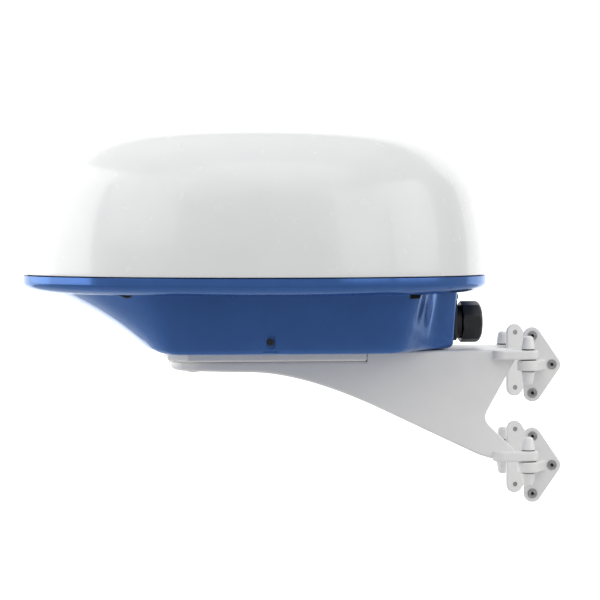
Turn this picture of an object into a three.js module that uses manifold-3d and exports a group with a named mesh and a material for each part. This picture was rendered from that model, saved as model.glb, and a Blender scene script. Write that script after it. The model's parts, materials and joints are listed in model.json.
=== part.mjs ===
// Closed-dome marine radar on a mast bracket with four hinged feet.
// Millimetres, +Z up. The origin is on the mast's axis, midway between the upper and lower feet.
// The radome stands ahead of the mast on -X; port is -Y and starboard is +Y.

import * as THREE from 'three';
import { mergeVertices } from 'three/addons/utils/BufferGeometryUtils.js';
import Module from 'manifold-3d';

const wasm = await Module();
wasm.setup();

// ---------------------------------------------------------------- driving dimensions

const GAP = 0.3;                    // clearance between two pieces that touch

const radomeSetback = 316;          // mast axis to radome axis
const seamHeight = 152;             // dome-to-base seam above the origin

const domeRadius = 250;
const domeHeight = 158;             // crown above the seam
const domeWall = 4;
const seamGap = 0.8;
const roundSteps = 40;              // facets round the dome and the rim

const rimDepth = 18;                // blue rim below the seam
const baseDepth = 79.5;             // underside of the base below the seam
const baseWall = 4;
const domeBoltOffset = 154;         // dome bolts at (+-offset, +-offset)
const domeBoltRadius = 3;

const glandHeight = -52.5;          // gland axis below the seam
const glandHoleRadius = 12.3;
const glandFlangeHalfWidth = 25;
const glandFlangeHalfHeight = 27;
const glandFlangeThickness = 4;
const endWallX = 214.5;              // the base's aft wall, from the radome axis

const mastRadius = 41.2;
const footAngle = 80;               // contact point of each foot, degrees round the mast from dead ahead
const footHeight = 54.5;            // foot centres above and below the origin
const footLugHeight = 12;
const footKnuckleRadius = 11.5;
const footCornerRadius = 9.5;
const footPlateThickness = 5;
const pinX = -27;
const pinY = 60;
const pinRadius = 4;
const rivetRadius = 4.8;
const rivetHoleRadius = 2.7;
const rivetAcross = 10.5;           // rivets either side of the contact line
const rivetUp = 31;                 // rivets above and below the foot's centre

const bracketHalfWidth = 60;
const bracketTop = 71;
const bracketLugRadius = 11;
const castingWall = 5;
const noseFront = -409;
const noseRadius = 38;
const platformFront = -413;
const platformBack = -202;
const platformBottom = 60.3;
const mountBoltRadius = 4;
const mountBoltX = [-386, -236];
const mountBoltY = 42;

const gearTeeth = 40;
const pinionTeeth = 10;
const gearModule = 2.15;
const gearBacklash = 0.4;
const pinionY = (gearTeeth + pinionTeeth) * gearModule / 2 + gearBacklash;

// ---------------------------------------------------------------- materials

function paint(color, roughness, metalness) {
  return new THREE.MeshStandardMaterial({ color, roughness, metalness });
}

const gelcoatWhite = paint(0xe9eaea, 0.12, 0);
const glossBlue = paint(0x2f5ca8, 0.1, 0);
const powderWhite = paint(0xdcdddd, 0.45, 0);
const capWhite = paint(0xe4e5e6, 0.3, 0);
const blackNylon = paint(0x16181b, 0.35, 0);
const blackRubber = paint(0x141414, 0.8, 0);
const stainless = paint(0xa9abac, 0.35, 0.9);
const aluminium = paint(0xb9bcbf, 0.45, 0.9);
const gearNylon = paint(0xd9d4c4, 0.5, 0);
const motorBlack = paint(0x222428, 0.5, 0.4);
const tinPlate = paint(0xc6c8c4, 0.35, 0.9);
const copperPink = paint(0xb87350, 0.4, 0.8);
const boardGreen = paint(0x1f5a3a, 0.5, 0);

// ---------------------------------------------------------------- solids and meshes

// Shares the vertices, drops empty triangles and turns the faces outward.
function closed(geometry) {
  const bare = geometry.clone();
  bare.deleteAttribute('normal');
  bare.deleteAttribute('uv');
  const merged = mergeVertices(bare, 1e-4);
  const position = merged.attributes.position.array;
  const index = [];
  let volume = 0;
  for (let i = 0; i < merged.index.count; i += 3) {
    const [a, b, c] = [0, 1, 2].map((k) => merged.index.getX(i + k));
    if (a === b || b === c || c === a) continue;
    index.push(a, b, c);
    const [p, q, r] = [a, b, c].map((v) => new THREE.Vector3().fromArray(position, 3 * v));
    volume += p.dot(q.cross(r));
  }
  if (volume < 0) index.reverse();
  return { vertProperties: position, triVerts: new Uint32Array(index) };
}

function solid(geometry) {
  return new wasm.Manifold(new wasm.Mesh({ numProp: 3, ...closed(geometry) }));
}

function surface(part) {
  const { vertProperties, triVerts } = part.getMesh ? part.getMesh() : closed(part);
  const geometry = new THREE.BufferGeometry();
  geometry.setAttribute('position', new THREE.BufferAttribute(vertProperties, 3));
  geometry.setIndex(new THREE.BufferAttribute(triVerts, 1));
  return geometry;
}

// part is a three.js geometry or a manifold solid.
function piece(name, part, material) {
  const mesh = new THREE.Mesh(surface(part), material);
  mesh.name = name;
  return mesh;
}

function joined(parts) {
  return parts.reduce((sum, part) => sum.add(part));
}

function mirroredY(geometry) {
  return geometry.clone().scale(1, -1, 1);
}

// A solid of revolution about +Z from (radius, height) pairs.
function turned(profile, segments = 24) {
  const points = profile.map(([radius, height]) => new THREE.Vector2(radius, height));
  return new THREE.LatheGeometry(points, segments).rotateX(Math.PI / 2);
}

function disc(radius, low, high, x = 0, y = 0, segments = 24) {
  return turned([[0, low], [radius, low], [radius, high], [0, high]], segments).translate(x, y, 0);
}

function ring(inner, outer, low, high, segments = 24) {
  return turned([[inner, low], [outer, low], [outer, high], [inner, high], [inner, low]], segments);
}

// The same, turned about +X at the gland's height.
function glandTurned(profile, segments) {
  return turned(profile, segments).rotateY(Math.PI / 2).translate(0, 0, glandHeight);
}

// The hole for the gland, from one x to another.
function glandWay(from, to) {
  return glandTurned([[0, from], [glandHoleRadius, from], [glandHoleRadius, to], [0, to]], 16);
}

// A block from its lowest to its highest corner.
function block(low, high) {
  const size = high.map((value, i) => value - low[i]);
  const middle = high.map((value, i) => (value + low[i]) / 2);
  return new THREE.BoxGeometry(...size).translate(...middle);
}

// A plan outline raised from low to high.
function raised(shape, low, high, curveSegments = 6) {
  const settings = { depth: high - low, bevelEnabled: false, curveSegments };
  return new THREE.ExtrudeGeometry(shape, settings).translate(0, 0, low);
}

// A side-view (x, z) outline carried across from -halfWidth to +halfWidth.
function across(shape, halfWidth, curveSegments = 6) {
  return raised(shape, -halfWidth, halfWidth, curveSegments).rotateX(Math.PI / 2);
}

function polygon(points) {
  return new THREE.Shape(points.map(([x, y]) => new THREE.Vector2(x, y)));
}

// The outline round circles of one radius, centres given anticlockwise.
function wrapped(centres, radius) {
  const shape = new THREE.Shape();
  const count = centres.length;
  centres.forEach(([x, y], i) => {
    const before = centres[(i + count - 1) % count];
    const after = centres[(i + 1) % count];
    const start = Math.atan2(y - before[1], x - before[0]) - Math.PI / 2;
    const end = Math.atan2(after[1] - y, after[0] - x) - Math.PI / 2;
    shape.absarc(x, y, radius, start, end, false);
  });
  return shape;
}

function roundedRectangle(halfX, halfY, radius) {
  const [x, y] = [halfX - radius, halfY - radius];
  return wrapped([[-x, -y], [x, -y], [x, y], [-x, y]], radius);
}

function hexHead(radius, low, high) {
  return disc(radius, low, high, 0, 0, 6);
}

// ---------------------------------------------------------------- dome cover

function domeOutline() {
  const outline = new THREE.CurvePath();
  const at = (radius, height) => new THREE.Vector2(radius, height);
  const shoulder = at(176, 147.7);
  outline.add(new THREE.CubicBezierCurve(at(domeRadius, 0), at(250, 40), at(245, 72), at(238, 93)));
  outline.add(new THREE.CubicBezierCurve(at(238, 93), at(229, 118), at(205, 143.5), shoulder));
  outline.add(new THREE.QuadraticBezierCurve(shoulder, at(88, domeHeight), at(0, domeHeight)));
  return outline;
}

function domeCover() {
  const outer = domeOutline().getPoints(4).map((point) => [point.x, point.y]);
  outer[0][1] = seamGap / 2;
  const inner = outer.map(([radius, height]) => [
    radius * (domeRadius - domeWall) / domeRadius,
    height * (domeHeight - domeWall) / domeHeight,
  ]);
  const flange = [[246, 6], [239, 6], [239, seamGap / 2]];
  const wallInside = inner.filter(([, height], i) => height > 8 && i % 2 === 0).reverse();
  let cover = solid(turned([...outer, ...wallInside, ...flange, outer[0]], roundSteps));
  for (const [x, y] of domeBoltPlaces()) {
    const boss = solid(disc(8, seamGap / 2, 26, x, y, 12));
    const web = solid(block([0, -2.5, seamGap / 2], [25, 2.5, 22])
      .rotateZ(Math.atan2(y, x)).translate(x * 1.01, y * 1.01, 0));
    const bore = solid(disc(domeBoltRadius + GAP, -1, 21, x, y, 8));
    cover = cover.add(boss).add(web).subtract(bore);
  }
  return piece('dome_cover', cover, gelcoatWhite);
}

function domeBoltPlaces() {
  const places = [];
  for (const x of [-domeBoltOffset, domeBoltOffset]) {
    for (const y of [-domeBoltOffset, domeBoltOffset]) places.push([x, y]);
  }
  return places;
}

// ---------------------------------------------------------------- base housing

// Half outlines of the tub, bow to stern on the starboard side: under the rim and at the foot.
const tubUnderRim = [
  [-233, 0], [-221, 55], [-199, 98], [-167, 132], [-139, 154], [-110, 161], [0, 163],
  [120, 161], [150, 152], [168, 118], [186, 80], [204, 63], [endWallX, 48], [endWallX, 0],
];
const tubAtFoot = [
  [-119, 0], [-118, 50], [-115, 92], [-110, 122], [-99, 142], [-78, 148.5], [0, 150],
  [112, 148.5], [134, 142], [158, 106], [180, 72], [199, 59], [endWallX - 4.5, 46], [endWallX - 4.5, 0],
];
const bowPoints = 5;                // the first points follow the bow's hollow curve
const bowCurve = 0.66;
const tubTop = -16;

function tubOutline(height, inset) {
  const down = THREE.MathUtils.clamp((height - tubTop) / (-baseDepth - tubTop), 0, 1);
  const half = tubUnderRim.map(([x, y], i) => {
    const along = i < bowPoints ? down ** bowCurve : down;
    return [
      THREE.MathUtils.lerp(x, tubAtFoot[i][0], along),
      THREE.MathUtils.lerp(y, tubAtFoot[i][1], down),
    ];
  });
  const port = half.slice(1, -1).reverse().map(([x, y]) => [x, -y]);
  const points = [...half, ...port].reverse();
  return points.map(([x, y], i) => {
    const before = points.at(i - 1);
    const after = points[(i + 1) % points.length];
    const run = new THREE.Vector2(after[0] - before[0], after[1] - before[1]).normalize();
    return [x - run.y * inset, y + run.x * inset];
  });
}

// A closed loft through equal-length outlines, each {height, points}, lowest first.
function loft(levels) {
  const count = levels[0].points.length;
  const position = levels.flatMap(({ height, points }) => points.flatMap(([x, y]) => [x, y, height]));
  const index = [];
  for (let level = 0; level + 1 < levels.length; level += 1) {
    for (let i = 0; i < count; i += 1) {
      const a = level * count + i;
      const b = level * count + (i + 1) % count;
      index.push(a, b, b + count, a, b + count, a + count);
    }
  }
  const lid = THREE.ShapeUtils.triangulateShape(levels[0].points.map(([x, y]) => new THREE.Vector2(x, y)), []);
  const last = (levels.length - 1) * count;
  for (const [a, b, c] of lid) {
    index.push(c, b, a, last + a, last + b, last + c);
  }
  const geometry = new THREE.BufferGeometry();
  geometry.setAttribute('position', new THREE.Float32BufferAttribute(position, 3));
  geometry.setIndex(index);
  return geometry;
}

function tubOuter() {
  const levels = [
    [-baseDepth, 8], [-78.3, 3.5], [-75, 1], [-69, 0], [-58, 0], [-46, 0], [-34, 0], [-26, 0], [-20, 0], [-10, 0],
  ];
  return loft(levels.map(([height, inset]) => ({ height, points: tubOutline(height, inset) })));
}

// The hollow follows the outside a wall's thickness lower down, and a little in from it.
function tubInner() {
  const heights = [-baseDepth + baseWall, -60, -45, -30, -20, tubTop + 3];
  return loft(heights.map((height) => ({ height, points: tubOutline(height - baseWall, 3) })));
}

function drainShape(radius) {
  return wrapped([[0, -2.5], [0, 2.5]], radius);
}

const drainHeight = -66.5;
const drainWallY = -153.5;

function baseHousing() {
  const rim = solid(turned([
    [0, -rimDepth], [225, -rimDepth], [235, -16.9], [244, -13.2], [248.8, -10], [domeRadius, -7.6],
    [domeRadius, -seamGap / 2], [0, -seamGap / 2],
  ], roundSteps));
  const pan = solid(turned([[0, -14], [225, -14], [236, -9], [236, 1], [0, 1]], roundSteps));
  const groove = solid(ring(240, 245, -3.5, 1, roundSteps));
  const outer = rim.add(solid(tubOuter()));
  let housing = outer.subtract(pan).subtract(groove).subtract(solid(tubInner()));

  for (const [x, y] of domeBoltPlaces()) {
    const boss = solid(disc(15, -30, -seamGap / 2, x, y, 12)).intersect(outer);
    const pocket = solid(disc(12, -26, -12, x, y, 12));
    const hole = solid(disc(domeBoltRadius + GAP, -20, 2, x, y, 8));
    housing = housing.add(boss).subtract(pocket).subtract(hole);
  }
  for (const x of mountBoltX) {
    for (const y of [-mountBoltY, mountBoltY]) {
      const boss = solid(disc(10, -baseDepth + 1, -baseDepth + 20, x + radomeSetback, y, 8));
      const bore = solid(disc(mountBoltRadius + GAP, -baseDepth - 1, -baseDepth + 16.5,
        x + radomeSetback, y, 8));
      housing = housing.add(boss).subtract(bore);
    }
  }
  const pad = solid(block([-8, drainWallY + 1, -77], [8, drainWallY + 12, -55])).intersect(outer);
  const recess = solid(across(drainShape(4.7), 4.5, 8).translate(0, drainWallY, drainHeight));
  const glandHole = solid(glandWay(195, 230));
  const facing = solid(block([205, -26, -75], [endWallX - 1, 26, -26])).intersect(outer);
  housing = housing.add(pad).add(facing).subtract(recess).subtract(glandHole);
  return piece('base_housing', housing, glossBlue);
}

function baseFittings() {
  const parts = [piece('rim_seal', ring(240 + GAP, 245 - GAP, -3.2, 0.1, roundSteps), blackRubber)];
  domeBoltPlaces().forEach(([x, y], i) => {
    const bolt = solid(hexHead(5.8, -17.6, -12.3)).add(solid(disc(domeBoltRadius, -13, 18, 0, 0, 8)));
    const mesh = piece(`dome_bolt_${i + 1}`, bolt, stainless);
    mesh.position.set(x, y, 0);
    parts.push(mesh);
  });
  const plug = turned([[0, 0], [3.6, 0], [3.6, 2.2], [2.6, 3], [0, 3]], 12).rotateX(Math.PI / 2);
  plug.translate(0, drainWallY + 4.5 - GAP, drainHeight);
  parts.push(piece('drain_plug', plug, blackNylon));
  return parts;
}

// ---------------------------------------------------------------- cable gland

function gland() {
  const face = endWallX + GAP;
  const outline = roundedRectangle(glandFlangeHalfWidth, glandFlangeHalfHeight, 6);
  const flangePlate = raised(outline, 0, glandFlangeThickness, 3)
    .rotateX(Math.PI / 2).rotateZ(Math.PI / 2).translate(face, 0, -rimDepth - GAP - glandFlangeHalfHeight);
  const bodyStart = face + glandFlangeThickness + GAP;
  const body = glandTurned([
    [8, 203], [12, 203], [12, bodyStart], [18.5, bodyStart], [18.5, 226], [15, 226], [15, 240],
    [8, 240], [8, 203],
  ], 20);
  const nutOutside = glandTurned([[0, 226.4], [22.8, 226.4], [22.8, 244], [19.5, 248.5], [0, 248.5]], 10);
  const nutInside = glandTurned([
    [0, 225], [15.4, 225], [15.4, 244.6], [9.5, 244.6], [9.5, 250], [0, 250],
  ], 20);
  const seal = glandTurned([[7.5, 240.4], [14.9, 240.4], [14.9, 244.3], [7.5, 244.3], [7.5, 240.4]], 20);
  return [
    piece('gland_flange', solid(flangePlate).subtract(solid(glandWay(200, 240))), blackNylon),
    piece('gland_body', body, blackNylon),
    piece('gland_nut', solid(nutOutside).subtract(solid(nutInside)), blackNylon),
    piece('gland_seal', seal, blackRubber),
  ];
}

// ---------------------------------------------------------------- scanner and electronics

const deckHeight = -10;             // top of the chassis plate
const deckThickness = 3;
const underDeck = deckHeight - deckThickness - GAP;
const underDeckDepth = -58;         // foot of the motor and the transceiver case
const gearLow = 27;
const gearHigh = 33;

function gearShape(teeth, toothAt, boreRadius) {
  const pitchRadius = teeth * gearModule / 2;
  const step = 2 * Math.PI / teeth;
  const flanks = [
    [-0.27, -1.15], [-0.11, 0.85], [0.11, 0.85], [0.27, -1.15],
  ];
  const points = [];
  for (let tooth = 0; tooth < teeth; tooth += 1) {
    for (const [turn, rise] of flanks) {
      const angle = toothAt + (tooth + turn) * step;
      const radius = pitchRadius + rise * gearModule;
      points.push([radius * Math.cos(angle), radius * Math.sin(angle)]);
    }
  }
  const shape = polygon(points);
  if (boreRadius) shape.holes.push(new THREE.Path().absarc(0, 0, boreRadius, 0, 2 * Math.PI, true));
  return shape;
}

function chassis() {
  let plate = solid(block([-118, -96, deckHeight - deckThickness], [158, 96, deckHeight]));
  for (const x of [-84, 148]) {
    for (const y of [-84, 84]) {
      plate = plate.add(solid(block([x - 5, y - 5, -baseDepth + baseWall + GAP], [x + 5, y + 5, deckHeight - 2])));
    }
  }
  const shaftHole = solid(disc(10, -40, 10));
  const pinionHole = solid(disc(6, -40, 10, 0, pinionY, 16));
  return piece('chassis_plate', plate.subtract(shaftHole).subtract(pinionHole), aluminium);
}

function drive() {
  const floor = deckHeight + GAP;
  const housing = turned([
    [14, floor], [34, floor], [34, floor + 4], [24, floor + 5], [24, 24], [14, 24], [14, floor],
  ], 24);
  const motorBody = raised(roundedRectangle(21, 21, 6), underDeckDepth, underDeck, 2).translate(0, pinionY, 0);
  return [
    piece('bearing_housing', housing, aluminium),
    piece('upper_bearing', ring(8 + GAP, 14 - GAP, 14, 22), stainless),
    piece('lower_bearing', ring(8 + GAP, 14 - GAP, -4, 4), stainless),
    piece('drive_motor', motorBody, motorBlack),
  ];
}

function rotor() {
  const holder = joined([
    solid(block([-85, -20, 44.4], [85, 20, 47.4])),
    solid(disc(18, 34, 45)),
    solid(block([-85, 16, 46], [85, 20, 92])),
  ]).subtract(solid(disc(8 + GAP, 30, 44, 0, 0, 20)));
  // The horn: a trough open to port, flaring from the guide at its back.
  const horn = polygon([
    [-24, 50], [-4, 62], [15.6, 62], [15.6, 96], [-4, 96], [-24, 108],
    [-24, 106], [-4.6, 94], [13.6, 94], [13.6, 64], [-4.6, 64], [-24, 52],
  ]);
  const reflector = raised(horn, -205, 205, 1).rotateX(Math.PI / 2).rotateZ(Math.PI / 2);
  const guide = solid(block([-196, 1, 73], [196, 13.2, 85]));
  const slots = [];
  for (let i = 0; i < 11; i += 1) {
    const x = (i - 5) * 34;
    slots.push(solid(block([x - 1, 0, 75], [x + 1, 2.2, 83])));
  }
  return [
    piece('rotor_shaft', ring(3.5, 8, -30, 43.6, 20), stainless),
    piece('main_gear', raised(gearShape(gearTeeth, Math.PI / 2, 8 + GAP), gearLow, gearHigh), gearNylon),
    piece('array_holder', holder, aluminium),
    piece('array_reflector', reflector, aluminium),
    piece('slotted_guide', guide.subtract(joined(slots)), tinPlate),
  ];
}

function motorPinion() {
  const teeth = raised(gearShape(pinionTeeth, Math.PI / pinionTeeth - Math.PI / 2, 0), gearLow - 1, gearHigh + 1);
  const pinion = solid(teeth).add(solid(disc(2.5, deckHeight - 2.5, gearLow, 0, 0, 12)));
  const mesh = piece('motor_pinion', pinion, gearNylon);
  mesh.position.set(0, pinionY, 0);
  return mesh;
}

function electronics() {
  const board = joined([
    solid(block([40, -70, -57], [150, 70, -55.4])),
    solid(block([52, -56, -56], [78, -18, -40])),
    solid(block([96, 10, -56], [130, 52, -46])),
    solid(disc(8, -56, -34, 112, -40, 12)),
    solid(disc(8, -56, -34, 134, -40, 12)),
  ]);
  const standOff = solid(block([90, -8, -baseDepth + baseWall + GAP], [100, 2, -56]));
  const transceiver = raised(roundedRectangle(28, 77, 3), underDeckDepth, underDeck, 2).translate(-67, 0, 0);
  const tube = joined([
    solid(disc(17, -72, -58, -4, -62, 16)),
    solid(block([-24, -84, -66], [16, -40, -63])),
    solid(disc(9, -60, -40, -4, -62, 12)),
  ]);
  return [
    piece('modulator_board', board.add(standOff), boardGreen),
    piece('transceiver_case', transceiver, tinPlate),
    piece('magnetron', tube, copperPink),
  ];
}

// ---------------------------------------------------------------- bracket

// The cast arm from the side, (x, z): stepped top, throat round the mast side, swept belly.
function castingSide() {
  const shape = new THREE.Shape();
  shape.moveTo(noseFront, 60);
  shape.lineTo(noseFront, 54);
  shape.quadraticCurveTo(-408, 51, -398, 50.6);
  shape.lineTo(-330, 49);
  shape.bezierCurveTo(-285, 49, -236, 31, -195, 12.7);
  shape.lineTo(-88, -38);
  shape.quadraticCurveTo(-68, -47.4, -50, -47.4);
  shape.lineTo(-40, -47.4);
  shape.lineTo(-40, -39);
  shape.lineTo(-68.8, -10.5);
  shape.quadraticCurveTo(-76.8, -2.5, -70.8, 7.5);
  shape.lineTo(-40, 62);
  shape.lineTo(-40, bracketTop);
  shape.lineTo(platformBack, bracketTop);
  shape.lineTo(platformBack, 60);
  return shape;
}

// The space between the two webs, from the side; it is open below and towards the mast.
function channelSide() {
  const wall = castingWall;
  return polygon([
    [-404, -90], [-404, 60 - wall], [platformBack - wall, 60 - wall],
    [platformBack + wall, bracketTop - wall], [0, bracketTop - wall], [0, -90],
  ]);
}

// The casting's plan, or its channel's, moved in by inset; it runs past the mast side.
function nosePlan(inset) {
  const [low, high] = [noseFront + inset, 20];
  const radius = noseRadius - inset;
  return raised(roundedRectangle((high - low) / 2 + radius, bracketHalfWidth - inset, radius), -100, 100)
    .translate((high + low) / 2 + radius, 0, 0);
}

function bracketLug(side, low, high) {
  const ends = [[-55, side * pinY], [pinX, side * pinY]];
  return solid(raised(wrapped(ends, bracketLugRadius), low, high, 8));
}

function bracketFrame() {
  const wall = castingWall;
  const plan = solid(nosePlan(0));
  const channel = solid(across(channelSide(), 100)).intersect(solid(nosePlan(wall)));
  let frame = solid(across(castingSide(), bracketHalfWidth + 1)).intersect(plan).subtract(channel);
  frame = frame.subtract(solid(disc(mastRadius + 9, 40, 90, 0, 0, 24)));

  const halfRib = bracketHalfWidth - wall + 1;
  frame = frame.add(solid(block([platformBack + 1, -halfRib, 24], [platformBack + 5.5, halfRib, 67])));
  frame = frame.add(solid(block([-132, -halfRib, 0], [-128, halfRib, 67])));
  const tie = disc(7, -halfRib, halfRib, 0, 0, 16).rotateX(Math.PI / 2).translate(-74, 0, -31);
  frame = frame.add(solid(tie));

  const overFoot = footLugHeight / 2 + GAP + 0.1;
  for (const side of [-1, 1]) {
    frame = frame.add(bracketLug(side, footHeight + overFoot, bracketTop - 0.4));
    frame = frame.add(bracketLug(side, -footHeight + overFoot, -footHeight + overFoot + 10.6));
    frame = frame.subtract(solid(disc(pinRadius + GAP, -100, 100, pinX, side * pinY, 16)));
  }
  for (const x of mountBoltX) {
    for (const y of [-mountBoltY, mountBoltY]) {
      frame = frame.subtract(solid(disc(mountBoltRadius + GAP, 40, 65, x, y, 8)));
    }
  }
  return piece('bracket_frame', frame, powderWhite);
}

function platformPlate() {
  const front = platformFront;
  const back = platformBack - GAP;
  const half = bracketHalfWidth + 2;
  const top = seamHeight - baseDepth - GAP;
  const outline = wrapped([
    [front + 4, -36], [front + 22, -half + 4], [back - 4, -half + 4],
    [back - 4, half - 4], [front + 22, half - 4], [front + 4, 36],
  ], 4);
  let plate = solid(raised(outline, platformBottom, top, 3));
  for (const x of mountBoltX) {
    for (const y of [-mountBoltY, mountBoltY]) {
      plate = plate.subtract(solid(disc(mountBoltRadius + GAP, 50, 80, x, y, 8)));
    }
  }
  return piece('platform_plate', plate, powderWhite);
}

function mountBolts() {
  const bolts = [];
  const seat = 60 - castingWall - GAP;
  for (const x of mountBoltX) {
    for (const y of [-mountBoltY, mountBoltY]) {
      const shank = solid(disc(mountBoltRadius, seat - 1, seat + 33, 0, 0, 8));
      const bolt = solid(hexHead(7.5, seat - 5.3, seat)).add(shank);
      const mesh = piece(`mount_bolt_${bolts.length + 1}`, bolt, stainless);
      mesh.position.set(x, y, 0);
      bolts.push(mesh);
    }
  }
  return bolts;
}

// ---------------------------------------------------------------- hinged feet

// Unit vectors of the port foot: outward from the mast, and along its plate.
const footOut = new THREE.Vector3(
  -Math.cos(THREE.MathUtils.degToRad(footAngle)), -Math.sin(THREE.MathUtils.degToRad(footAngle)), 0);
const footAlong = new THREE.Vector3(-footOut.y, footOut.x, 0);
const faceDistance = mastRadius + GAP;
const rivetPlaces = [[-rivetAcross, -rivetUp], [rivetAcross, 0], [-rivetAcross, rivetUp]];

function footPoint(along, up, out) {
  return footAlong.clone().multiplyScalar(along).addScaledVector(footOut, out).setZ(up);
}

function portFootGeometry() {
  const basis = new THREE.Matrix4().makeBasis(footAlong, new THREE.Vector3(0, 0, 1), footOut);
  const plate = raised(wrapped(rivetPlaces, footCornerRadius), faceDistance, faceDistance + footPlateThickness, 4);
  const rootOut = faceDistance + footPlateThickness - 2;
  const rootNear = footPoint(-13, 0, rootOut);
  const rootFar = footPoint(1, 0, rootOut);
  const knuckle = disc(footKnuckleRadius, -footLugHeight / 2, footLugHeight / 2, pinX, -pinY);
  const arm = polygon([
    [pinX - 11.3, -pinY + 2], [pinX, -pinY - 11.4], [pinX + 8.5, -pinY - 7.5],
    [rootFar.x + 4, rootFar.y], [rootFar.x, rootFar.y + 1], [rootNear.x - 4, rootNear.y + 1],
  ]);
  const arms = solid(raised(arm, -footLugHeight / 2, footLugHeight / 2));
  const pinHole = solid(disc(pinRadius + GAP, -20, 20, pinX, -pinY, 16));
  const holes = rivetPlaces.map(([along, up]) => {
    const at = footPoint(along, up, faceDistance);
    return solid(disc(rivetHoleRadius, -5, 12, 0, 0, 10).applyMatrix4(basis).translate(at.x, at.y, at.z));
  });
  const foot = solid(plate.applyMatrix4(basis)).add(arms).add(solid(knuckle)).subtract(pinHole);
  return surface(foot.subtract(joined(holes)));
}

function rivetGeometry() {
  const basis = new THREE.Matrix4().makeBasis(footAlong, new THREE.Vector3(0, 0, 1), footOut);
  const seat = footPlateThickness + GAP;
  return turned([
    [0, GAP], [2.4, GAP], [2.4, seat], [rivetRadius, seat], [4.2, seat + 1.1], [1.7, seat + 1.6],
    [1.5, seat + 0.6], [0, seat + 0.6],
  ], 10).applyMatrix4(basis);
}

function capGeometry() {
  return turned([
    [0, 7.5], [pinRadius + GAP, 7.5], [pinRadius + GAP, 0], [7.4, 0], [7.2, 3], [5.6, 11.5],
    [4, 13.6], [0, 14.2],
  ], 12);
}

function feet() {
  const portFoot = portFootGeometry();
  const portRivet = rivetGeometry();
  const cap = capGeometry();
  const parts = [];
  for (const [level, height] of [['upper', footHeight], ['lower', -footHeight]]) {
    for (const [sideName, side] of [['port', -1], ['starboard', 1]]) {
      const label = `${level}_${sideName}`;
      const handed = (geometry) => (side < 0 ? geometry : mirroredY(geometry));
      const foot = piece(`foot_${label}`, handed(portFoot), powderWhite);
      foot.position.z = height;
      parts.push(foot);

      rivetPlaces.forEach(([along, up], i) => {
        const at = footPoint(along, up, faceDistance);
        const rivet = piece(`rivet_${label}_${i + 1}`, handed(portRivet), stainless);
        rivet.position.set(at.x, -side * at.y, height + at.z);
        parts.push(rivet);
      });

      const lugTop = level === 'upper' ? bracketTop - height : footLugHeight / 2 + GAP + 0.1 + 10.6;
      const lugBottom = -footLugHeight / 2;
      const pin = piece(`pin_${label}`, disc(pinRadius, lugBottom - 6.5, lugTop + 6.5, 0, 0, 16), stainless);
      pin.position.set(pinX, side * pinY, height);
      parts.push(pin);

      const topCap = piece(`cap_${label}_top`, cap, capWhite);
      topCap.position.set(pinX, side * pinY, height + lugTop + GAP + 0.1);
      const bottomCap = piece(`cap_${label}_bottom`, cap, capWhite);
      bottomCap.rotation.x = Math.PI;
      bottomCap.position.set(pinX, side * pinY, height + lugBottom - GAP - 0.1);
      parts.push(topCap, bottomCap);
    }
  }
  return parts;
}

// ---------------------------------------------------------------- assembly

const radome = new THREE.Group();
radome.position.set(-radomeSetback, 0, seamHeight);
radome.add(
  domeCover(), baseHousing(), ...baseFittings(), ...gland(), chassis(), ...drive(), ...rotor(),
  motorPinion(), ...electronics(),
);

const bracket = new THREE.Group();
bracket.add(bracketFrame(), platformPlate(), ...mountBolts(), ...feet());

const radar = new THREE.Group();
radar.add(radome, bracket);

export default radar;
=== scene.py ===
"""Looks for a dome radar on a hinged-foot mast bracket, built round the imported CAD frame.

Shapes are worked out in millimetres in each assembly's own axes and stored in metres in the row frame.
"""
import json
import math
import random

import bpy
from mathutils import Matrix, Vector


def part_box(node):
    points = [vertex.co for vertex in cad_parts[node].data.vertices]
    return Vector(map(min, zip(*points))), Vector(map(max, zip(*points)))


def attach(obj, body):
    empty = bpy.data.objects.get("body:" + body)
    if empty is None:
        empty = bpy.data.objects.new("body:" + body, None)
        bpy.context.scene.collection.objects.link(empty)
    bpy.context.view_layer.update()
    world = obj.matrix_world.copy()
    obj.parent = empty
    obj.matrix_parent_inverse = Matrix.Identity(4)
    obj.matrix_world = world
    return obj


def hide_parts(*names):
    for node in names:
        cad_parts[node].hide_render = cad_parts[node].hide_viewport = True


MM = 0.001
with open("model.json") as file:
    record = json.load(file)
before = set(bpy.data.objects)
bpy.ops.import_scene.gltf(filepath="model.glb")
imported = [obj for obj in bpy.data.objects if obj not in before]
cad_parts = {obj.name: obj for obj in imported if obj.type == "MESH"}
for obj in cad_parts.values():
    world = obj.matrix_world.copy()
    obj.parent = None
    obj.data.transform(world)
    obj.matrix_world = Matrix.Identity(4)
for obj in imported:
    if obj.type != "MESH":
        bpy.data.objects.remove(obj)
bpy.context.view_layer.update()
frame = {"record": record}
BODY_OF = {node: body for body, nodes in frame["record"]["behaviour"]["bodies"].items() for node in nodes}


# ---------------------------------------------------------------- places taken from the frame

def middle(node):
    low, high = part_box(node)
    return (low + high) / 2 / MM


def low_of(node):
    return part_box(node)[0] / MM


def high_of(node):
    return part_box(node)[1] / MM


SEAM_GAP = 0.8
RADOME_X = middle("dome_cover").x
SEAM_Z = low_of("dome_cover").z - SEAM_GAP / 2
RADOME = Matrix.Translation((RADOME_X, 0, SEAM_Z))
GLAND_Z = middle("gland_nut").z
ALONG_X = Matrix.Rotation(math.radians(90), 4, "Y")
GLAND = Matrix.Translation((RADOME_X, 0, GLAND_Z)) @ ALONG_X


# ---------------------------------------------------------------- mesh building

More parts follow.
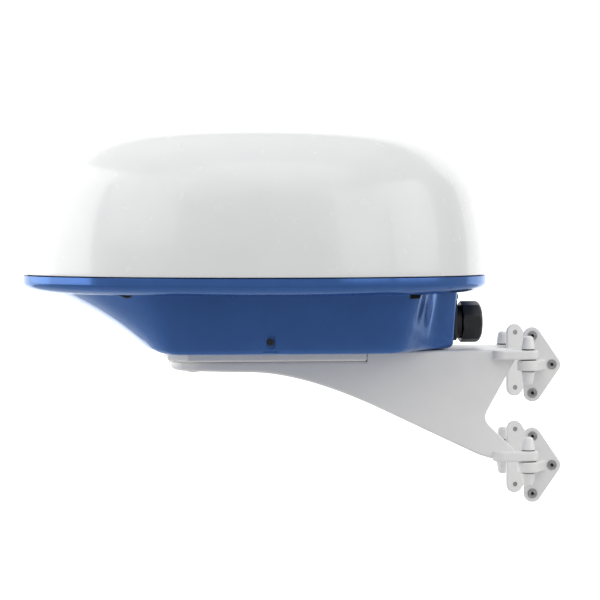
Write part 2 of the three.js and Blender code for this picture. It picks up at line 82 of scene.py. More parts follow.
def make_object(name, verts, faces, place=None):
    """A mesh object from millimetre coordinates, stored in metres in the row frame."""
    mesh = bpy.data.meshes.new(name)
    place = place or Matrix.Identity(4)
    mesh.from_pydata([(place @ Vector(v)) * MM for v in verts], [], faces)
    mesh.validate()
    obj = bpy.data.objects.new(name, mesh)
    bpy.context.scene.collection.objects.link(obj)
    face_outward(obj)
    return obj


def face_outward(obj):
    """Flips a closed mesh whose faces point inward."""
    mesh = obj.data
    volume = 0.0
    for face in mesh.polygons:
        corners = [mesh.vertices[i].co for i in face.vertices]
        for b, c in zip(corners[1:], corners[2:]):
            volume += corners[0].dot(b.cross(c))
    if volume < 0:
        mesh.flip_normals()


def stacked(loops, closed_ends=True, wraps=False):
    """Vertices and faces of equal-length loops joined in order; wraps joins the last to the first."""
    count = len(loops[0])
    verts = [point for loop in loops for point in loop]
    faces = []
    pairs = list(zip(range(len(loops) - 1), range(1, len(loops))))
    if wraps:
        pairs.append((len(loops) - 1, 0))
    for a, b in pairs:
        for i in range(count):
            j = (i + 1) % count
            faces.append((a * count + i, a * count + j, b * count + j, b * count + i))
    if closed_ends and not wraps:
        faces.append(tuple(reversed(range(count))))
        faces.append(tuple(range((len(loops) - 1) * count, len(loops) * count)))
    return verts, faces


def turned(name, profile, steps=96, place=None):
    """A solid of revolution about Z from (radius, height) pairs; on the axis it closes in a point."""
    verts, rings = [], []
    for radius, height in profile:
        if radius < 1e-6:
            rings.append([len(verts)])
            verts.append((0, 0, height))
            continue
        ring = []
        for i in range(steps):
            angle = 2 * math.pi * i / steps
            ring.append(len(verts))
            verts.append((radius * math.cos(angle), radius * math.sin(angle), height))
        rings.append(ring)
    faces = []
    pairs = list(zip(rings, rings[1:]))
    if len(rings[0]) > 1:
        pairs.append((rings[-1], rings[0]))
    for low, high in pairs:
        for i in range(steps):
            j = (i + 1) % steps
            corners = [low[i % len(low)], low[j % len(low)], high[j % len(high)], high[i % len(high)]]
            kept = list(dict.fromkeys(corners))
            if len(kept) > 2:
                faces.append(tuple(kept))
    return make_object(name, verts, faces, place)


def circle(radius, steps=48, x=0.0, y=0.0):
    turns = [2 * math.pi * i / steps for i in range(steps)]
    return [(x + radius * math.cos(a), y + radius * math.sin(a)) for a in turns]


def wrapped(centres, radius, steps=10):
    """The outline round circles of one radius, centres given anticlockwise."""
    outline = []
    for i, (x, y) in enumerate(centres):
        before = centres[i - 1]
        after = centres[(i + 1) % len(centres)]
        start = math.atan2(y - before[1], x - before[0]) - math.pi / 2
        end = math.atan2(after[1] - y, after[0] - x) - math.pi / 2
        sweep = (end - start) % (2 * math.pi)
        for k in range(steps + 1):
            angle = start + sweep * k / steps
            outline.append((x + radius * math.cos(angle), y + radius * math.sin(angle)))
    return outline


def rounded_box_outline(half_x, half_y, radius, steps=6):
    x, y = half_x - radius, half_y - radius
    return wrapped([(-x, -y), (x, -y), (x, y), (-x, y)], radius, steps)


def inset(outline, distance):
    """The outline moved in by distance; a negative distance moves it out."""
    moved = []
    for i, (x, y) in enumerate(outline):
        before = Vector((x, y)) - Vector(outline[i - 1])
        after = Vector(outline[(i + 1) % len(outline)]) - Vector((x, y))
        before.normalize()
        after.normalize()
        normal = Vector((-(before.y + after.y), before.x + after.x))
        step = normal * (2 * distance / max(normal.length_squared, 1.0))
        moved.append((x + step.x, y + step.y))
    return moved


def prism(name, outline, low, high, fillet=0.0, place=None, steps=3, flare=False):
    """An outline raised from low to high with filleted rims; flare opens the rims for use as a cutter."""
    if not fillet:
        loops = [[(x, y, z) for x, y in outline] for z in (low, high)]
        return make_object(name, *stacked(loops), place)
    rims = []
    for k in range(steps + 1):
        turn = math.pi / 2 * k / steps
        rims.append((fillet * (1 - math.sin(turn)), fillet * (1 - math.cos(turn))))
    levels = [(distance, low + rise) for distance, rise in rims]
    levels += [(distance, high - rise) for distance, rise in reversed(rims)]
    if flare:
        levels = [(-distance, z) for distance, z in levels]
        levels = [(-fillet, low - 5)] + levels + [(-fillet, high + 5)]
    loops = [[(x, y, z) for x, y in inset(outline, distance)] for distance, z in levels]
    return make_object(name, *stacked(loops), place)


def block(name, low, high, fillet=0.6, place=None):
    """A block from its lowest to its highest corner with rounded edges."""
    half = [(b - a) / 2 for a, b in zip(low, high)]
    centre = Matrix.Translation([(a + b) / 2 for a, b in zip(low, high)])
    fillet = min(fillet, half[0] * 0.8, half[1] * 0.8, half[2] * 0.8)
    outline = rounded_box_outline(half[0], half[1], fillet, 3)
    return prism(name, outline, -half[2], half[2], fillet * 0.98, (place or Matrix.Identity(4)) @ centre)


def combined(obj, others, operation):
    """obj joined with, or cut by, the others, which are used up."""
    for other in others:
        step = obj.modifiers.new("step", "BOOLEAN")
        step.operation = operation
        step.solver = "MANIFOLD"
        step.object = other
    graph = bpy.context.evaluated_depsgraph_get()
    done = bpy.data.meshes.new_from_object(obj.evaluated_get(graph))
    obj.modifiers.clear()
    obj.data = done
    for other in others:
        bpy.data.objects.remove(other)
    return obj


def copied(obj):
    twin = bpy.data.objects.new(obj.name, obj.data.copy())
    bpy.context.scene.collection.objects.link(twin)
    return twin


def joined(obj, *others):
    return combined(obj, others, "UNION")


def cut(obj, *others):
    return combined(obj, others, "DIFFERENCE")


def cylinder(radius, low, high, x=0.0, y=0.0, place=None, steps=40):
    shift = (place or Matrix.Identity(4)) @ Matrix.Translation((x, y, 0))
    return turned("tool", [(0, low), (radius, low), (radius, high), (0, high)], steps, shift)


def smooth(obj, sharp_angle=32):
    """Smooth shading with creases kept, and flat faces kept flat."""
    mesh = obj.data
    mesh.shade_smooth()
    mesh.set_sharp_from_angle(angle=math.radians(sharp_angle))
    weigh = obj.modifiers.new("normals", "WEIGHTED_NORMAL")
    weigh.keep_sharp = True
    return obj


def show_beside(obj, name, like, finish, sharp_angle=32):
    """obj is shown as a further piece on the body of the CAD node it is like, in the given finish."""
    obj.name = name
    smooth(obj, sharp_angle)
    obj.data.materials.clear()
    obj.data.materials.append(finish)
    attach(obj, BODY_OF[like])
    return obj


def stand_for(obj, node, finish, sharp_angle=32):
    """obj is shown in place of a CAD node, on the node's own body, in the given finish."""
    show_beside(obj, node + "_fine", node, finish, sharp_angle)
    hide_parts(node)
    return obj


def bezier(*points, steps=12):
    """Points along a quadratic or cubic Bezier curve, without its first point."""
    out = []
    for k in range(1, steps + 1):
        t = k / steps
        row = [Vector(p) for p in points]
        while len(row) > 1:
            row = [a.lerp(b, t) for a, b in zip(row, row[1:])]
        out.append(tuple(row[0]))
    return out


# ---------------------------------------------------------------- materials

def shader(name, colour, roughness, metallic=0.0, coat=0.0, grain=(900.0, 0.02), mottle=0.03,
           rough_spread=0.04, waves=None, specular=0.5, coat_roughness=0.04, edge=(1, 1, 1)):
    """Principled material with mottled colour, uneven roughness and a fine surface grain.

    grain is (scale per metre, bump strength) and waves the same for a slow undulation.
    """
    material = bpy.data.materials.new(name)
    material.use_nodes = True
    nodes, links = material.node_tree.nodes, material.node_tree.links
    surface = nodes["Principled BSDF"]
    surface.inputs["Metallic"].default_value = metallic
    surface.inputs["Coat Weight"].default_value = coat
    surface.inputs["Specular IOR Level"].default_value = specular
    surface.inputs["Coat Roughness"].default_value = coat_roughness
    surface.inputs["Specular Tint"].default_value = (*edge, 1)
    place = nodes.new("ShaderNodeTexCoord")

    def noise(scale, detail=3.0):
        node = nodes.new("ShaderNodeTexNoise")
        node.inputs["Scale"].default_value = scale
        node.inputs["Detail"].default_value = detail
        links.new(place.outputs["Object"], node.inputs["Vector"])
        return node.outputs["Fac"]

    def ranged(source, low, high):
        node = nodes.new("ShaderNodeMapRange")
        node.inputs["From Min"].default_value = 0.3
        node.inputs["From Max"].default_value = 0.7
        node.inputs["To Min"].default_value = low
        node.inputs["To Max"].default_value = high
        links.new(source, node.inputs["Value"])
        return node.outputs["Result"]

    tint = nodes.new("ShaderNodeMix")
    tint.data_type = "RGBA"
    links.new(ranged(noise(35.0), 0.0, 1.0), tint.inputs["Factor"])
    tint.inputs["A"].default_value = (*[c * (1 - mottle) for c in colour], 1)
    tint.inputs["B"].default_value = (*[min(1.0, c * (1 + mottle)) for c in colour], 1)
    links.new(tint.outputs["Result"], surface.inputs["Base Color"])
    links.new(ranged(noise(60.0), max(0.02, roughness - rough_spread), roughness + rough_spread),
              surface.inputs["Roughness"])

    bump_input = surface.inputs["Normal"]
    for scale, strength, reach in [(*grain, 0.0004), (*(waves or (0, 0)), 0.002)]:
        if not strength:
            continue
        bump = nodes.new("ShaderNodeBump")
        bump.inputs["Strength"].default_value = strength
        bump.inputs["Distance"].default_value = reach
        links.new(noise(scale, 2.0), bump.inputs["Height"])
        links.new(bump.outputs["Normal"], bump_input)
        bump_input = bump.inputs["Normal"]
    return material


GELCOAT = shader("white_gelcoat", (0.80, 0.805, 0.81), 0.24, coat=0.35, grain=(700, 0.03), mottle=0.01,
                 waves=(9, 0.05))
BLUE = shader("blue_gloss_plastic", (0.046, 0.125, 0.37), 0.15, metallic=0.5, coat=0.25, grain=(600, 0.03),
              mottle=0.05, waves=(14, 0.08), specular=0.2, coat_roughness=0.1, edge=(0.35, 0.62, 1.0))
POWDER = shader("white_powder_coat", (0.87, 0.865, 0.86), 0.42, grain=(1500, 0.22), mottle=0.015)
CAP = shader("white_cap_plastic", (0.88, 0.88, 0.88), 0.28, grain=(1200, 0.08), mottle=0.01)
NYLON = shader("black_nylon", (0.012, 0.013, 0.016), 0.36, grain=(1800, 0.15), mottle=0.2)
RUBBER = shader("black_rubber", (0.010, 0.010, 0.010), 0.75, grain=(1500, 0.2), mottle=0.2)
STEEL = shader("stainless_steel", (0.52, 0.53, 0.54), 0.26, metallic=1.0, grain=(2500, 0.08))
RIVET = shader("rivet_steel", (0.40, 0.405, 0.41), 0.34, metallic=1.0, grain=(2500, 0.12), mottle=0.08)
ALUMINIUM = shader("bare_aluminium", (0.62, 0.63, 0.64), 0.36, metallic=1.0, grain=(2200, 0.12))
TIN = shader("tin_plate", (0.66, 0.66, 0.63), 0.30, metallic=1.0, grain=(400, 0.1), mottle=0.06)
COPPER = shader("magnetron_copper", (0.52, 0.26, 0.15), 0.38, metallic=1.0, grain=(900, 0.1), mottle=0.12)
GEAR = shader("gear_nylon", (0.70, 0.65, 0.52), 0.45, grain=(1500, 0.08), mottle=0.04)
MOTOR = shader("motor_black", (0.02, 0.021, 0.024), 0.4, grain=(1600, 0.2), mottle=0.1)
BOARD = shader("circuit_board", (0.015, 0.13, 0.055), 0.35, coat=0.4, grain=(300, 0.1), mottle=0.25)


# ---------------------------------------------------------------- dome cover

DOME_R = (high_of("dome_cover").x - low_of("dome_cover").x) / 2
DOME_H = high_of("dome_cover").z - SEAM_Z
WALL = 4.0
BOLT_AT = abs(middle("dome_bolt_1").y)
BOLT_PLACES = [(x, y) for x in (-BOLT_AT, BOLT_AT) for y in (-BOLT_AT, BOLT_AT)]
BOLT_R = 3.0


def dome_outline():
    """(radius, height) from just above the seam to the crown."""
    edge = 1.2
    wall = bezier((DOME_R, 0), (250, 40), (245, 72), (238, 93), steps=24)
    shoulder = bezier((238, 93), (229, 118), (205, 143.5), (176, 147.7), steps=28)
    crown = bezier((176, 147.7), (88, DOME_H), (0, DOME_H), steps=36)
    foot = [(DOME_R - edge * 1.0, 0.4), (DOME_R - edge * 0.3, 0.75), (DOME_R - 0.02, 1.6)]
    return foot + wall + shoulder + crown


def dome_cover():
    outer = dome_outline()
    inner = []
    for radius, height in reversed(outer):
        if height > 8:
            inner.append((radius * (DOME_R - WALL) / DOME_R, height * (DOME_H - WALL) / DOME_H))
    flange = [(246, 6), (240, 6), (239, 5), (239, 0.4)]
    dome = turned("dome", outer + inner + flange, 256, RADOME)
    for x, y in BOLT_PLACES:
        at = Matrix.Translation((x * 1.01, y * 1.01, 0))
        out = RADOME @ at @ Matrix.Rotation(math.atan2(y, x), 4, "Z")
        boss = cylinder(8, 0.4, 26, x, y, RADOME)
        web = block("web", (0, -2.4, 0.4), (26, 2.4, 22), 0.5, out)
        dome = joined(dome, boss, web)
        dome = cut(dome, cylinder(BOLT_R + 0.3, -1, 21, x, y, RADOME, 24))
    return stand_for(dome, "dome_cover", GELCOAT)


# ---------------------------------------------------------------- base housing

BASE_DEPTH = SEAM_Z - low_of("base_housing").z
END_X = low_of("gland_flange").x - 0.3 - RADOME_X
TUB_TOP = -16.0
TUB_UNDER_RIM = [
    (-233, 0), (-221, 55), (-199, 98), (-167, 132), (-139, 154), (-110, 161), (0, 163),
    (120, 161), (150, 152), (168, 118), (186, 80), (204, 62), (END_X - 2, 52), (END_X, 44), (END_X, 0),
]
TUB_AT_FOOT = [
    (-119, 0), (-118, 50), (-115, 92), (-110, 122), (-99, 142), (-78, 148.5), (0, 150),
    (112, 148.5), (134, 142), (158, 106), (180, 72), (199, 58), (END_X - 6.5, 50), (END_X - 4.5, 42),
    (END_X - 4.5, 0),
]
BOW_POINTS = 5
BOW_CURVE = 0.66
UNDER_RIM = -18.0
RIM_FILLET = 1.5
RIM_EDGE = [
    (236, -9), (236, -0.8), (236.4, -0.4), (249.4, -0.4), (249.9, -0.7), (250, -1.4), (250, -4.5), (250, -7.6),
]
RIM_UNDERSIDE = [(249.6, -12.2), (244, -15.2), (233, -17.6)]
TUB_LEVELS = (-22, -25, -28, -31, -34, -38, -43, -48, -53, -58, -63, -67)
FOOT_FILLET = 7.0
POCKET_FLOOR = -19.0


def spline_round(points, steps=12):
    """A closed centripetal Catmull-Rom curve through the points."""
    out = []
    count = len(points)
    for i in range(count):
        p = [Vector(points[(i + k) % count]) for k in (-1, 0, 1, 2)]
        knots = [0.0]
        for a, b in zip(p, p[1:]):
            knots.append(knots[-1] + max((b - a).length, 1e-6) ** 0.5)
        for k in range(steps):
            t = knots[1] + (knots[2] - knots[1]) * k / steps

            def mix(a, b, start, end):
                return a.lerp(b, (t - start) / (end - start))

            a1 = mix(p[0], p[1], knots[0], knots[1])
            a2 = mix(p[1], p[2], knots[1], knots[2])
            a3 = mix(p[2], p[3], knots[2], knots[3])
            b1 = mix(a1, a2, knots[0], knots[2])
            b2 = mix(a2, a3, knots[1], knots[3])
            out.append(tuple(mix(b1, b2, knots[1], knots[2])))
    return out


def tub_outline(height, distance=0.0):
    down = min(1.0, max(0.0, (height - TUB_TOP) / (-BASE_DEPTH - TUB_TOP)))
    half = []
    for i, (top, foot) in enumerate(zip(TUB_UNDER_RIM, TUB_AT_FOOT)):
        along = down ** BOW_CURVE if i < BOW_POINTS else down
        half.append((top[0] + (foot[0] - top[0]) * along, top[1] + (foot[1] - top[1]) * down))
    port = [(x, -y) for x, y in reversed(half[1:-1])]
    return inset(spline_round((half + port)[::-1]), distance)


def pocket_radius(x):
    """The bow flank lies further from its bolts, so their pockets are wider."""
    return 15 if x < 0 else 12


def pocket(radius, x, y):
    """The room round a dome bolt head: a cup with a rounded floor, open at the top."""
    deep, shallow = POCKET_FLOOR - radius, POCKET_FLOOR - radius * 0.35
    cup = [(0, deep + 8)] + bezier((0, deep + 8), (radius, deep + 8), (radius, shallow), steps=10)
    return turned("pocket", cup + [(radius, -12), (0, -12)], 64, RADOME @ Matrix.Translation((x, y, 0)))


def base_housing():
    bearings = [math.atan2(y, x) for x, y in tub_outline(TUB_TOP)]

    def rim(radius, height):
        return [(radius * math.cos(a), radius * math.sin(a), height) for a in bearings]

    def level(height, distance=0.0, at=None):
        return [(x, y, height) for x, y in tub_outline(height if at is None else at, distance)]

    loops = [rim(r, z) for r, z in RIM_EDGE]
    loops += [rim(r, z) for r, z in bezier(RIM_EDGE[-1], *RIM_UNDERSIDE, steps=14)]
    for k in range(5):
        turn = math.pi / 2 * k / 4
        drop = UNDER_RIM - RIM_FILLET * (1 - math.cos(turn))
        loops.append(level(drop, -RIM_FILLET * (1 - math.sin(turn))))
    loops += [level(z) for z in TUB_LEVELS]
    for k in range(1, 8):
        turn = math.pi / 2 * k / 7
        z = -BASE_DEPTH + FOOT_FILLET * (1 - math.sin(turn))
        loops.append(level(z, FOOT_FILLET * (1 - math.cos(turn))))
    floor_out = len(loops)
    inner_heights = [-BASE_DEPTH + WALL, -68, -60, -52, -44, -36, -28, -20, -14]
    loops += [level(z, 3, z - WALL) for z in inner_heights]
    loops.append(rim(225.5, -14))
    count = len(bearings)
    verts, faces = stacked(loops, closed_ends=False, wraps=True)
    seam = (floor_out - 1) * count
    faces = [f for f in faces if not (seam <= f[0] < seam + count and f[2] >= seam + count)]
    faces.append(tuple(range(seam, seam + count)))
    faces.append(tuple(reversed(range(seam + count, seam + 2 * count))))
    housing = make_object("housing", verts, faces, RADOME)

    tools = [turned("groove", [(240, -3.5), (245, -3.5), (245, 1), (240, 1)], 192, RADOME)]
    # Bolt bosses stay within the tub, so their pockets open through its flank.
    tub = make_object("tub", *stacked([level(z) for z in (-40, -36, -32, -28, -24, -20, -16, -12)]), RADOME)
    outside = cut(cylinder(300, -36, -17, place=RADOME, steps=96), tub)
    # The black rubber liners in the bolt pockets are painted shade: they darken the pocket walls where the
    # flank opens under the rim.
    pocket_shade_liners, bolt_bosses = [], []
    for x, y in BOLT_PLACES:
        radius = pocket_radius(x)
        bolt_bosses.append(cylinder(radius + 3, -29, -0.4, x, y, RADOME))
        shell = cut(pocket(radius - 0.1, x, y), cylinder(40, -17.5, 0, x, y, RADOME))
        pocket_shade_liners.append(cut(shell, pocket(radius - 1, x, y)))
    pocket_shade_liners = cut(joined(*pocket_shade_liners), copied(outside))
    show_beside(pocket_shade_liners, "bolt_pocket_shade_liners", "gland_seal", RUBBER)
    bosses = [cut(joined(*bolt_bosses), outside)]
    for x, y in BOLT_PLACES:
        tools.append(pocket(pocket_radius(x), x, y))
        tools.append(cylinder(BOLT_R + 0.3, -20, 2, x, y, RADOME, 24))
    for i in range(4):
        at = middle(f"mount_bolt_{i + 1}")
        bosses.append(cylinder(10, -BASE_DEPTH + 1, -BASE_DEPTH + 20, at.x - RADOME_X, at.y, RADOME))
        tools.append(cylinder(4.3, -BASE_DEPTH - 1, -BASE_DEPTH + 16.5, at.x - RADOME_X, at.y, RADOME, 24))
    bosses.append(block("facing", (200, -26, -73), (END_X - 5, 26, -24), 2, RADOME))
    bosses.append(block("pad", (-8, -150, -78), (8, -141, -55), 1, RADOME))
    tools.append(cylinder(12.3, 190, 230, place=GLAND))
    tools.append(drain_recess())
    housing = cut(joined(housing, *bosses), *tools)
    return stand_for(housing, "base_housing", BLUE, 40)


DRAIN = Matrix.Translation(middle("drain_plug")) @ Matrix.Rotation(math.radians(90), 4, "X")


def drain_recess():
    outline = wrapped([(0, -2.5), (0, 2.5)], 4.7, 16)
    return prism("recess", outline, -1.7, 12, 0, DRAIN)


def base_fittings():
    seal = [(240.3, -3.2), (244.7, -3.2), (244.7, -0.6), (243.9, 0.1), (241.1, 0.1), (240.3, -0.6)]
    stand_for(turned("seal", seal, 192, RADOME), "rim_seal", RUBBER)
    for i in range(4):
        node = f"dome_bolt_{i + 1}"
        at = middle(node)
        low = low_of(node).z
        stand_for(hex_bolt(at.x, at.y, low, low + 5.3, high_of(node).z, 5.8, BOLT_R), node, STEEL)
    plug = [(0, -1.5), (3.6, -1.5), (3.6, 0.6), (3.2, 1.1), (1.4, 1.4), (1.2, 0.4), (0, 0.4)]
    stand_for(turned("plug", plug, 32, DRAIN), "drain_plug", NYLON)


def hex_bolt(x, y, low, seat, tip, head_radius, shank_radius):
    """A bolt pointing up: chamfered hexagon head from low to seat, threaded shank to tip."""
    place = Matrix.Translation((x, y, 0))
    flats = head_radius * math.cos(math.pi / 6)
    head = prism("head", circle(head_radius, 6), low, seat - 0.8, 0, place)
    cone = [(0, low - 1), (flats * 0.93, low - 1), (flats * 0.95, low), (head_radius + 1, low + 2.4)]
    cone += [(head_radius + 1, seat + 1), (0, seat + 1)]
    chamfer = turned("chamfer", cone, 48, place)
    head = combined(head, [chamfer], "INTERSECT")
    pitch = shank_radius * 0.32
    profile = [(0, seat - 1.4), (flats * 0.98, seat - 1.4), (flats * 0.98, seat), (shank_radius, seat)]
    z = seat + 2
    while z + pitch < tip - 0.6:
        profile += [(shank_radius, z), (shank_radius * 0.86, z + pitch / 2)]
        z += pitch
    profile += [(shank_radius, z), (shank_radius, tip - 0.6), (shank_radius - 0.6, tip), (0, tip)]
    return joined(head, turned("shank", profile, 24, place))


# ---------------------------------------------------------------- cable gland

def gland():
    start = low_of("gland_flange").x - RADOME_X
    face = high_of("gland_flange").x - RADOME_X
    flange_at = middle("gland_flange")
    place = Matrix.Translation((RADOME_X + start, 0, flange_at.z)) @ ALONG_X
    flange = prism("flange", rounded_box_outline(27, 25, 6), 0, face - start, 1.0, place)
    for x in (-21, 21):
        for y in (-19, 19):
            flange = joined(flange, turned("screw", [(0, 3), (3.2, 3), (3.2, 4.9), (2.6, 5.6), (0, 5.9)], 24,
                                           place @ Matrix.Translation((x, y, 0))))
    flange = cut(flange, cylinder(12.3, 200, 240, place=GLAND))
    stand_for(flange, "gland_flange", NYLON)

    back = low_of("gland_body").x - RADOME_X
    front = high_of("gland_body").x - RADOME_X
    collar = face + 0.3
    thread = [(15, front - 12)]
    z = front - 11
    while z < front - 1.5:
        thread += [(15, z), (14.2, z + 0.75)]
        z += 1.5
    profile = [(8, back), (12, back), (12, collar), (17.9, collar), (18.5, collar + 0.6), (18.5, 225.4)]
    profile += [(17.9, 226), (15, 226), *thread, (15, front), (8, front)]
    stand_for(turned("body", profile, 96, GLAND), "gland_body", NYLON)

    low = low_of("gland_nut").x - RADOME_X
    high = high_of("gland_nut").x - RADOME_X
    ribs = circle(22.8, 10)
    nut = prism("nut", rounded_corners(ribs, 1.6), low, high, 0, GLAND)
    dome = turned("turn", [(0, low - 1), (21.6, low - 1), (21.6, low), (23.2, low + 1.6), (23.2, high - 7),
                           *bezier((23.2, high - 7), (23, high - 2), (18.6, high)), (0, high)], 96, GLAND)
    nut = combined(nut, [dome], "INTERSECT")
    hollow = turned("hollow", [(0, low - 2), (15.4, low - 2), (15.4, 244.6), (9.5, 244.6), (9.5, high - 1.4),
                               (11, high + 0.2), (11, high + 2), (0, high + 2)], 64, GLAND)
    stand_for(cut(nut, hollow), "gland_nut", NYLON, 25)
    seal = [(7.5, 240.4), (14.9, 240.4), (14.9, 244.3), (8.2, 244.3), (7.5, 243.6)]
    stand_for(turned("seal", seal, 64, GLAND), "gland_seal", RUBBER)


def rounded_corners(points, radius, steps=4):
    """A polygon with its corners rounded to a radius."""
    out = []
    for i, corner in enumerate(points):
        here = Vector(corner)
        back = (Vector(points[i - 1]) - here).normalized()
        on = (Vector(points[(i + 1) % len(points)]) - here).normalized()
        reach = radius / math.tan(back.angle(on) / 2)
        out.append(tuple(here + back * reach))
        out += bezier(here + back * reach, here, here + on * reach, steps=steps)
    return out


# ---------------------------------------------------------------- bracket

BRACKET_TOP = high_of("bracket_frame").z
HALF_WIDTH = 60.0
CASTING = 5.0
FRONT_X = low_of("bracket_frame").x
STEP_X = high_of("platform_plate").x + 0.3
STEP_Z = 60.0
MAST_END_X = -40.0
PIN = middle("pin_upper_starboard")
PIN_R = 4.0
SIDEWAYS = Matrix.Rotation(math.radians(90), 4, "X")


def belly():
    """(x, z) of the casting's underside from nose to mast."""
    points = [(FRONT_X, 54)] + bezier((FRONT_X, 54), (-408, 51), (-398, 50.6), steps=8)
    points += [(-380, 50.3), (-355, 49.6), (-330, 49)]
    points += bezier((-330, 49), (-285, 49), (-236, 31), (-195, 12.7), steps=24)
    points += bezier((-195, 12.7), (-141.5, -12.65), (-88, -38), steps=10)
    points += bezier((-88, -38), (-68, -47.4), (-50, -47.4), steps=12)
    return points + [(MAST_END_X, -47.4)]


def nose_half_width(x, front, half_width, radius):
    reach = front + radius - x
    if reach <= 0:
        return half_width
    return half_width - radius + math.sqrt(max(0.0, radius ** 2 - reach ** 2))


def casting_section(x, low, high, half_width, fillet):
    """A rounded rectangle across the casting at x."""
    fillet = min(fillet, (high - low) / 2 - 0.1)
    y, z = half_width - fillet, (high - low) / 2 - fillet
    mid = (high + low) / 2
    outline = wrapped([(-y, -z), (y, -z), (y, z), (-y, z)], fillet, 5)
    return [(x, a, mid + b) for a, b in outline]


def casting_block():
    loops = []
    low = belly()
    fillet = 3.0
    for (x, z) in low:
        if x < STEP_X:
            loops.append(casting_section(x, z, STEP_Z, nose_half_width(x, FRONT_X, HALF_WIDTH, 38), fillet))

    def low_at(x):
        for (x0, z0), (x1, z1) in zip(low, low[1:]):
            if x0 <= x <= x1:
                return z0 + (z1 - z0) * (x - x0) / (x1 - x0)
        return low[-1][1]

    loops.append(casting_section(STEP_X, low_at(STEP_X), STEP_Z, HALF_WIDTH, fillet))
    for back in (0.0, 0.6, 1.6, 3.0):
        drop = 3.0 - math.sqrt(max(0.0, 9.0 - (3.0 - back) ** 2))
        x = STEP_X + back
        loops.append(casting_section(x + 0.01, low_at(x), BRACKET_TOP - drop, HALF_WIDTH, fillet))
    for (x, z) in low:
        if x > STEP_X + 4:
            loops.append(casting_section(x, z, BRACKET_TOP, HALF_WIDTH, fillet))
    return make_object("casting", *stacked(loops))


def channel_tool():
    """The space between the webs, open below and towards the mast."""
    loops = []
    half = HALF_WIDTH - CASTING
    front = FRONT_X + CASTING
    stations = [front + reach for reach in (0.0, 0.5, 2, 5, 10, 16, 24, 33)]
    stations += [STEP_X - CASTING, STEP_X + CASTING, 0.0]
    for x in stations:
        high = (STEP_Z if x < STEP_X else BRACKET_TOP) - CASTING
        loops.append(casting_section(x, -120, high, nose_half_width(x, front, half, 33), 3.0))
    return make_object("channel", *stacked(loops))


def throat_tool():
    """Cuts the mast side of both webs to a throat with rounded edges."""
    line = [(20, -39), (MAST_END_X + 1, -39), (-68.8, -10.5)]
    line += bezier((-68.8, -10.5), (-76.8, -2.5), (-70.8, 7.5), steps=14)
    line += [(MAST_END_X, 62), (20, 62)]
    outline = [(x, z) for x, z in line][::-1]
    outline = outline if area(outline) > 0 else outline[::-1]
    return prism("throat", outline, -HALF_WIDTH, HALF_WIDTH, 1.8, SIDEWAYS, 4, True)


def area(outline):
    return sum(a[0] * b[1] - b[0] * a[1] for a, b in zip(outline, outline[1:] + outline[:1])) / 2


def bracket_frame():
    casting = cut(casting_block(), channel_tool(), throat_tool())
    half_rib = HALF_WIDTH - CASTING + 1
    extras = [
        block("rib", (STEP_X + 1, -half_rib, 24), (STEP_X + 5.5, half_rib, 67), 1.5),
        block("rib", (-132, -half_rib, 0), (-128, half_rib, 67), 1.5),
        cylinder(7, -half_rib, half_rib, place=Matrix.Translation((-74, 0, -31)) @ SIDEWAYS),
    ]
    casting = joined(casting, *extras)
    casting = cut(casting, cylinder(50.2, 40, 90, steps=96))
    lugs, holes = [], []
    for side in (-1, 1):
        outline = wrapped([(-55, side * PIN.y), (PIN.x, side * PIN.y)], 11, 20)
        for level, top in (("upper", BRACKET_TOP - 0.4), ("lower", None)):
            foot_top = middle(f"foot_{level}_port").z + 6.4
            lugs.append(prism("lug", outline, foot_top, top or foot_top + 10.6, 2.0, steps=4))
        holes.append(cylinder(PIN_R + 0.3, -100, 100, PIN.x, side * PIN.y, steps=32))
    for i in range(4):
        at = middle(f"mount_bolt_{i + 1}")
        holes.append(cylinder(4.3, 40, 65, at.x, at.y, steps=32))
    casting = cut(joined(casting, *lugs), *holes)
    return stand_for(casting, "bracket_frame", POWDER)


def platform_plate():
    low, high = low_of("platform_plate"), high_of("platform_plate")
    half = high.y
    outline = wrapped([
        (low.x + 4, -36), (low.x + 22, -half + 4), (high.x - 4, -half + 4),
        (high.x - 4, half - 4), (low.x + 22, half - 4), (low.x + 4, 36),
    ], 4, 8)
    plate = prism("plate", outline, low.z, high.z, 2.5, steps=5)
    holes = []
    for i in range(4):
        at = middle(f"mount_bolt_{i + 1}")
        holes.append(cylinder(4.3, 50, 80, at.x, at.y, steps=32))
    stand_for(cut(plate, *holes), "platform_plate", POWDER)


def mount_bolts():
    for i in range(4):
        node = f"mount_bolt_{i + 1}"
        at = middle(node)
        low = low_of(node).z
        stand_for(hex_bolt(at.x, at.y, low, low + 5.3, high_of(node).z, 7.5, 4.0), node, STEEL)


# ---------------------------------------------------------------- hinged feet

FOOT_ANGLE = math.radians(80)
FACE = 41.5
PLATE = 5.0
OUT = Vector((-math.cos(FOOT_ANGLE), -math.sin(FOOT_ANGLE), 0))
ALONG = Vector((-OUT.y, OUT.x, 0))
RIVETS = [(-10.5, -31), (10.5, 0), (-10.5, 31)]
KNUCKLE_TOP = 5.3
CAP_LIFT = 0.6


# Black washers recessed between cap, lug and foot: real washers, and their black also paints the shadow line
# at each joint.
def shade_gap_washer(name, like, x, y, low, high, radius):
    profile = [(PIN_R + 0.2, low), (radius, low), (radius, high), (PIN_R + 0.2, high)]
    show_beside(turned("shade_gap_washer", profile, 48, Matrix.Translation((x, y, 0))), name, like, RUBBER)


def foot_basis(side, height):
    """Plate axes (along, up, out from the mast) of a foot on one side; side is -1 to port."""
    rows = Matrix((ALONG, (0, 0, 1), OUT)).transposed().to_4x4()
    mirror = Matrix.Scale(-1, 4, (0, 1, 0)) if side > 0 else Matrix.Identity(4)
    return Matrix.Translation((0, 0, height)) @ mirror @ rows


